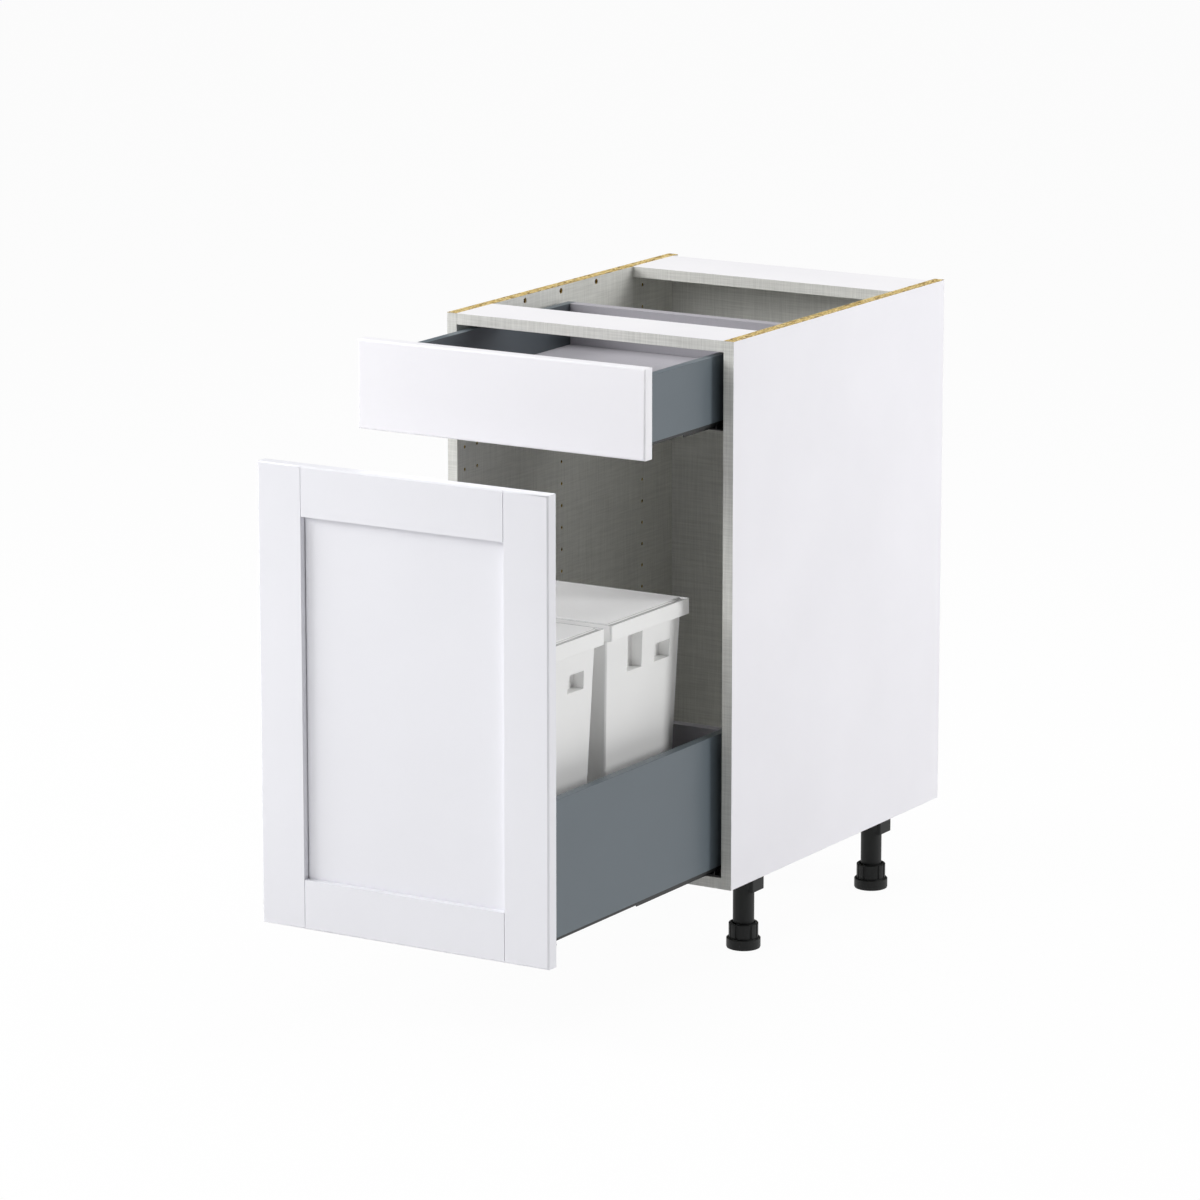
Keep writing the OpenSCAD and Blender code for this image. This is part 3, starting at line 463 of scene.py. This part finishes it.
# Finishes by the record's material slots, and four that some nodes have of their own
FINISHES = {
    "side_board": side_board(),
    "linen_board": linen_board("linen board"),
    "beech": drawn("beech", BEECH_LIGHT, BEECH_DARK, smooth=0.5, rough=0.6, bump=0.1),
    "black_plastic": grained("black plastic", LEG_WORN, LEG_BLACK, smooth=0.42,
                             rough=0.55, bump=0.12, Specular_IOR_Level=0.3),
    "zinc_steel": drawn("zinc steel", ZINC_LIGHT, ZINC_DARK, smooth=0.28, rough=0.42,
                        bump=0.05, Metallic=1.0),
    # Runners: black as painted shade
    "dark_steel": grained("runner steel painted black as shade", RUNNER_PAINTED_SHADE_BLACK, RUNNER_PAINTED_SHADE_DARKER, smooth=0.4,
                          rough=0.5, bump=0.1),
    "grey_steel": grey_coat(),
    "tray_board": linen_board("tray board", TRAY_LIGHT, TRAY_DARK),
    "white_front": lacquer("white lacquer", WHITE_LACQUER, WHITE_LACQUER_SHADE),
    "clear_plastic": grained("clear bumper", BUMPER_CLEAR, BUMPER_SHADE, smooth=0.1,
                             rough=0.2, bump=0.02, Transmission_Weight=0.7, IOR=1.45),
    "bin_plastic": bin_plastic(),
    "rail_board": linen_board("rail board", white_above=BOX_TOP),
    # Tray backs: a darker copy of the tray board, as painted shade
    "tray_back_painted_shade": linen_board("tray back painted shade", TRAY_BACK_PAINTED_SHADE, TRAY_BACK_PAINTED_SHADE_DARKER),
    # Drawer front: a lighter copy of the lacquer, as painted light
    "drawer_lacquer_painted_light": lacquer("drawer lacquer painted light", DRAWER_PAINTED_LIGHT_WHITE, DRAWER_PAINTED_LIGHT_DARKER),
    # Lids: a lighter copy of the bins' plastic, as painted light
    "lid_plastic_painted_light": grained("lid plastic painted light", LID_PAINTED_LIGHT_WHITE, LID_PAINTED_LIGHT_DARKER, MOULDED_SMOOTH,
                           MOULDED_ROUGH, MOULDED_BUMP, MOULDED_GRAIN, MOULDED_CLOUDS),
}
OWN_FINISH = {
    "front_top_rail": "rail_board", "rear_top_rail": "rail_board",
    "drawer_back": "tray_back_painted_shade", "pullout_back": "tray_back_painted_shade",
    "drawer_front": "drawer_lacquer_painted_light",
    "lid_front": "lid_plastic_painted_light", "lid_rear": "lid_plastic_painted_light",
}


def finish_of(node):
    return FINISHES[OWN_FINISH.get(node, slot_of[node])]


# Edges that are eased, in metres: the width of the round and how long an edge
# has to be to get one, so that the rims of small holes stay sharp
BOARD_EDGE = (0.0004, 0.02)
DRAWER_FRONT_EDGE = (0.0007, 0.01)
DOOR_FRAME_EDGE = (0.0004, 0.005)
THIN_EDGE = (0.0003, 0.01)
METAL_WALL_EDGE = (0.0009, 0.01)
TRAY_BACK_EDGE = (0.0005, 0.02)
BIN_EDGE = (0.0008, 0.0)
SOCKET_EDGE = (0.0006, 0.0)
TUBE_EDGE = (0.0005, 0.0)
FOOT_EDGE = (0.0004, 0.0)
EASED = {
    "side_panel_left": BOARD_EDGE, "side_panel_right": BOARD_EDGE,
    "bottom_panel": BOARD_EDGE, "back_panel": BOARD_EDGE,
    "front_top_rail": BOARD_EDGE, "rear_top_rail": BOARD_EDGE,
    "drawer_front": DRAWER_FRONT_EDGE,
    "door_stile_left": DOOR_FRAME_EDGE, "door_stile_right": DOOR_FRAME_EDGE,
    "door_rail_top": DOOR_FRAME_EDGE, "door_rail_bottom": DOOR_FRAME_EDGE,
    "door_panel": THIN_EDGE,
    "drawer_wall_left": METAL_WALL_EDGE, "drawer_wall_right": METAL_WALL_EDGE,
    "pullout_wall_left": METAL_WALL_EDGE, "pullout_wall_right": METAL_WALL_EDGE,
    "drawer_bottom": THIN_EDGE, "drawer_back": TRAY_BACK_EDGE,
    "pullout_bottom": THIN_EDGE, "pullout_back": TRAY_BACK_EDGE,
    "bin_front": BIN_EDGE, "bin_rear": BIN_EDGE,
    "lid_front": BIN_EDGE, "lid_rear": BIN_EDGE,
    "leg_sockets": SOCKET_EDGE, "leg_tubes": TUBE_EDGE,
    "foot_front_left": FOOT_EDGE, "foot_front_right": FOOT_EDGE,
    "foot_rear_left": FOOT_EDGE, "foot_rear_right": FOOT_EDGE,
    "drawer_runner_left": THIN_EDGE, "drawer_runner_right": THIN_EDGE,
    "pullout_runner_left": THIN_EDGE, "pullout_runner_right": THIN_EDGE,
    "drawer_rail_left": THIN_EDGE, "drawer_rail_right": THIN_EDGE,
    "pullout_rail_left": THIN_EDGE, "pullout_rail_right": THIN_EDGE,
}
# Faces that meet at more than this make a sharp edge, and at less than FLAT none
SHARP = math.radians(35)
FLAT = math.radians(0.5)
MERGE = 0.00002

# The door's panel is stepped back round its edge. At the bottom and at the right,
# where the photo shows no dark line, the copy's step is moved on into the groove
PANEL_STEP = 0.0012
SHUT = 0.0016
STEP_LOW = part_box("door_rail_bottom")[1].z + PANEL_STEP
STEP_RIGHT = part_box("door_stile_right")[0].x - PANEL_STEP


def close_panel_step(shape):
    for vert in shape.verts:
        if abs(vert.co.z - STEP_LOW) < FACE_DEPTH:
            vert.co.z -= SHUT
        if abs(vert.co.x - STEP_RIGHT) < FACE_DEPTH:
            vert.co.x += SHUT


def new_object(name, data):
    made = bpy.data.objects.new(name, data)
    bpy.context.scene.collection.objects.link(made)
    return made


def new_piece(name, shape):
    """An object with the shape's mesh. The shape is used up."""
    mesh = bpy.data.meshes.new(name)
    shape.to_mesh(mesh)
    shape.free()
    return new_object(name, mesh)


def eased_copy(node, width, shortest):
    """A merged copy of a solid with its sharp edges rounded, standing for the solid."""
    shape = bmesh.new()
    shape.from_mesh(nodes[node].data)
    bmesh.ops.remove_doubles(shape, verts=shape.verts, dist=MERGE)
    bmesh.ops.dissolve_limit(shape, angle_limit=FLAT, verts=shape.verts, edges=shape.edges)
    if node == "door_panel":
        close_panel_step(shape)
    sharp = [edge for edge in shape.edges
             if len(edge.link_faces) == 2 and edge.calc_face_angle() > SHARP
             and edge.calc_length() > shortest]
    bmesh.ops.bevel(shape, geom=sharp, offset=width, offset_type="OFFSET", affect="EDGES",
                    segments=2, profile=0.5, clamp_overlap=True, material=-1)
    piece = new_piece(node + "_eased", shape)
    for face in piece.data.polygons:
        face.use_smooth = True
    piece.data.set_sharp_from_angle(angle=SHARP)
    even = piece.modifiers.new("even shading", "WEIGHTED_NORMAL")
    even.keep_sharp = True
    piece.data.materials.append(finish_of(node))
    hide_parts(node)
    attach(piece, body_of[node])


for node, (width, shortest) in EASED.items():
    eased_copy(node, width, shortest)
for node, piece in nodes.items():
    if node not in EASED:
        piece.data.materials.clear()
        piece.data.materials.append(finish_of(node))


# Studio
FLOOR_REACH = 30.0
FLOOR_WHITENESS = 0.965
WORLD_LEVEL = 0.105
LIT_POINT = Vector((0.0, 0.0, 0.45))
# Each softbox: its place, its width and height, and its watts
SOFTBOXES = {
    "left_softbox": ((-3.5, -2.0, 2.75), (2.6, 2.2), 160),
    "right_softbox": ((3.85, 1.65, 1.8), (0.9, 1.6), 88),
    "front_softbox": ((-1.1, -4.2, 2.8), (2.8, 2.2), 62),
    "top_softbox": ((0.3, 1.1, 3.9), (2.6, 2.6), 80),
}


def bare_tree(owner):
    """The node tree of a material or world, emptied."""
    owner.use_nodes = True
    owner.node_tree.nodes.clear()
    return NodeTree(owner.node_tree)


def aim(holder, direction):
    holder.rotation_euler = direction.to_track_quat("-Z", "Y").to_euler()


def studio_floor():
    """A pale floor that shows white to the camera and keeps a soft shadow."""
    shape = bmesh.new()
    bmesh.ops.create_grid(shape, x_segments=1, y_segments=1, size=FLOOR_REACH)
    floor = new_piece("studio_floor", shape)
    material = bpy.data.materials.new("studio floor")
    tree = bare_tree(material)
    path = tree.node("ShaderNodeLightPath").outputs
    mirrored = tree.math("MAXIMUM", path["Is Glossy Ray"], path["Is Transmission Ray"])
    seen = tree.math("MAXIMUM", path["Is Camera Ray"], mirrored)
    lit = tree.node("ShaderNodeBsdfDiffuse", {"Color": FLOOR_GREY})
    bright = tree.node("ShaderNodeEmission", {"Color": PURE_WHITE, "Strength": 1.0})
    mixed = tree.node("ShaderNodeMixShader", {
        "Fac": tree.math("MULTIPLY", seen, FLOOR_WHITENESS),
        1: lit.outputs[0], 2: bright.outputs[0]})
    tree.node("ShaderNodeOutputMaterial", {"Surface": mixed.outputs[0]})
    floor.data.materials.append(material)


def studio_world():
    """A dim white sky that shows full white to the camera."""
    world = bpy.data.worlds.new("studio")
    bpy.context.scene.world = world
    tree = bare_tree(world)
    path = tree.node("ShaderNodeLightPath").outputs
    seen = tree.math("MAXIMUM", path["Is Camera Ray"], path["Is Transmission Ray"])
    strength = tree.math("MULTIPLY_ADD", seen, 1.0 - WORLD_LEVEL, WORLD_LEVEL)
    sky = tree.node("ShaderNodeBackground", {"Color": PURE_WHITE, "Strength": strength})
    tree.node("ShaderNodeOutputWorld", {"Surface": sky.outputs[0]})


def softbox(name, place, size, watts):
    lamp = bpy.data.lights.new(name, "AREA")
    lamp.shape = "RECTANGLE"
    lamp.size, lamp.size_y = size
    lamp.energy = watts
    holder = new_object(name, lamp)
    holder.location = place
    aim(holder, LIT_POINT - Vector(place))


studio_floor()
studio_world()
for name, (place, size, watts) in SOFTBOXES.items():
    softbox(name, place, size, watts)


# Camera at the photograph's viewing angle
CAMERA_PLACE = (4.0488, -6.6910, 2.2172)
CAMERA_YAW = math.radians(31.313)
CAMERA_PITCH = math.radians(12.502)
CAMERA_REACH = 100
FOCAL_PIXELS, PHOTO_PIXELS, SENSOR_MM = 5788.6, 1200, 36.0
camera = bpy.data.cameras.new("camera")
camera.sensor_width = SENSOR_MM
camera.lens = FOCAL_PIXELS / PHOTO_PIXELS * SENSOR_MM
camera.clip_end = CAMERA_REACH
viewer = new_object("camera", camera)
viewer.location = CAMERA_PLACE
aim(viewer, Vector((-math.sin(CAMERA_YAW) * math.cos(CAMERA_PITCH),
                    math.cos(CAMERA_YAW) * math.cos(CAMERA_PITCH),
                    -math.sin(CAMERA_PITCH))))
bpy.context.scene.camera = viewer
bpy.context.scene.view_settings.view_transform = "Standard"
